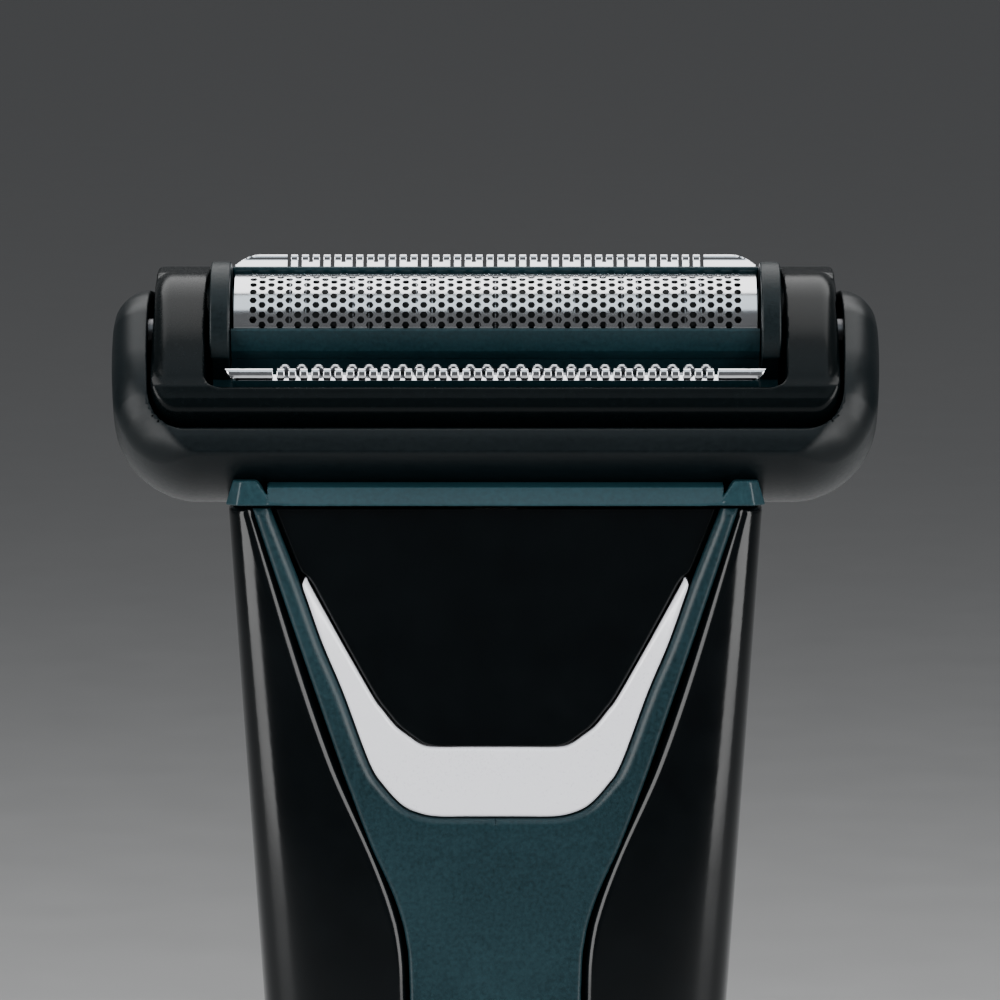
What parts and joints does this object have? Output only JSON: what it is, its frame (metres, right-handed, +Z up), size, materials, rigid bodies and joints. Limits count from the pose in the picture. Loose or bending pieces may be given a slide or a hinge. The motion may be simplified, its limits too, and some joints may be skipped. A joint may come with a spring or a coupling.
{
  "type": "foil shaver",
  "caption": "Cordless foil shaver: wide tilting head with a perforated foil between front and rear slotted trimmer combs, on a tapering handle with a power button.",
  "frame": {"origin": "centre of the round charging recess in the flat base", "axes": "+Z up the handle to the head, -Y towards the front with the button and accent trim, +X to the right seen from the back"},
  "size_m": [0.056, 0.0259, 0.1594],
  "materials": {
    "gloss_black": "high gloss",
    "tilt_black": "soft gloss",
    "carrier_black": "moulded",
    "satin_teal": "fine grained satin",
    "soft_black": "soft satin",
    "shell_black": "satin",
    "rubber_black": "matt",
    "pearl_trim": "bright satin",
    "gold_contact": "plated",
    "light_lens": "frosted",
    "chassis_grey": "moulded",
    "motor_steel": "drawn can",
    "screw_steel": "plated",
    "battery_wrap": "shrink wrap",
    "nickel_tab": "nickel",
    "board_green": "solder mask",
    "switch_black": "moulded",
    "pin_steel": "ground",
    "button_teal": "satin",
    "nylon_white": "moulded",
    "spring_steel": "drawn wire",
    "foil_steel": "polished, perforated",
    "cap_black": "fine grained",
    "comb_steel": "polished, ground edges",
    "blade_steel": "ground"
  },
  "bodies": {
    "handle": {"rear_shell": "shell_black", "rear_grip": "rubber_black", "side_panel_left": "gloss_black", "side_panel_right": "gloss_black", "front_frame": "satin_teal", "front_panel": "gloss_black", "accent_trim": "pearl_trim", "base_cap": "shell_black", "base_seal": "rubber_black", "charging_contacts": "gold_contact", "status_light": "light_lens", "chassis": "chassis_grey", "top_plate": "shell_black", "drive_boot": "rubber_black", "snap_latches": "chassis_grey", "motor_can": "motor_steel", "motor_screws": "screw_steel", "battery": "battery_wrap", "battery_tabs": "nickel_tab", "circuit_board": "board_green", "tact_switch": "switch_black", "guide_rods": "pin_steel", "shell_screws": "screw_steel"},
    "button": {"power_button": "button_teal", "switch_plunger": "nylon_white"},
    "motor": {"motor_shaft": "pin_steel", "eccentric": "nylon_white"},
    "drive": {"drive_lever": "nylon_white", "drive_pin": "pin_steel"},
    "head": {"head_collar": "soft_black", "head_cradle": "soft_black", "pivot_pins": "pin_steel", "tilt_spring": "spring_steel"},
    "tilt": {"tilt_frame": "tilt_black", "float_springs": "spring_steel"},
    "cassette": {"cassette_frame": "satin_teal", "foil": "foil_steel", "foil_cap_left": "cap_black", "foil_cap_right": "cap_black", "front_comb": "comb_steel", "rear_comb": "comb_steel", "cassette_screws": "screw_steel"},
    "cutter": {"cutter_carrier": "carrier_black", "cutter_blades": "blade_steel", "cutter_springs": "spring_steel"},
    "front_trimmer": {"front_blade": "blade_steel"},
    "rear_trimmer": {"rear_blade": "blade_steel"}
  },
  "joints": [
    {"name": "motor_spin", "type": "hinge", "parent": "handle", "child": "motor", "pos_m": [0, 0.001, 0.105], "axis": [0, 0, 1], "continuous": true},
    {"name": "drive_slide", "type": "slide", "parent": "handle", "child": "drive", "axis": [1, 0, 0], "range_m": [-0.001, 0.001], "stiffness_N_per_m": 300},
    {"name": "power_button", "type": "slide", "parent": "handle", "child": "button", "axis": [0, 1, 0], "range_m": [0, 0.0006], "stiffness_N_per_m": 1500, "springref_m": -0.0002},
    {"name": "head_release", "type": "slide", "parent": "handle", "child": "head", "axis": [0, 0, 1], "range_m": [0, 0.025]},
    {"name": "head_tilt", "type": "hinge", "parent": "head", "child": "tilt", "pos_m": [0, -0.00166, 0.15371], "axis": [1, 0, 0], "range_deg": [-14, 8], "stiffness_Nm_per_rad": 0.06},
    {"name": "cassette_float", "type": "slide", "parent": "tilt", "child": "cassette", "axis": [0, -0.5736, 0.8192], "range_m": [-0.001, 0], "stiffness_N_per_m": 400, "springref_m": 0.0012},
    {"name": "cutter_slide", "type": "slide", "parent": "cassette", "child": "cutter", "axis": [1, 0, 0], "range_m": [-0.001, 0.001]},
    {"name": "front_trimmer_slide", "type": "slide", "parent": "cassette", "child": "front_trimmer", "axis": [1, 0, 0], "range_m": [-0.001, 0.001]},
    {"name": "rear_trimmer_slide", "type": "slide", "parent": "cassette", "child": "rear_trimmer", "axis": [1, 0, 0], "range_m": [-0.001, 0.001]}
  ],
  "couplings": [
    {"joint": "cutter_slide", "follows": "drive_slide", "ratio": 1},
    {"joint": "front_trimmer_slide", "follows": "drive_slide", "ratio": 1},
    {"joint": "rear_trimmer_slide", "follows": "drive_slide", "ratio": 1}
  ]
}
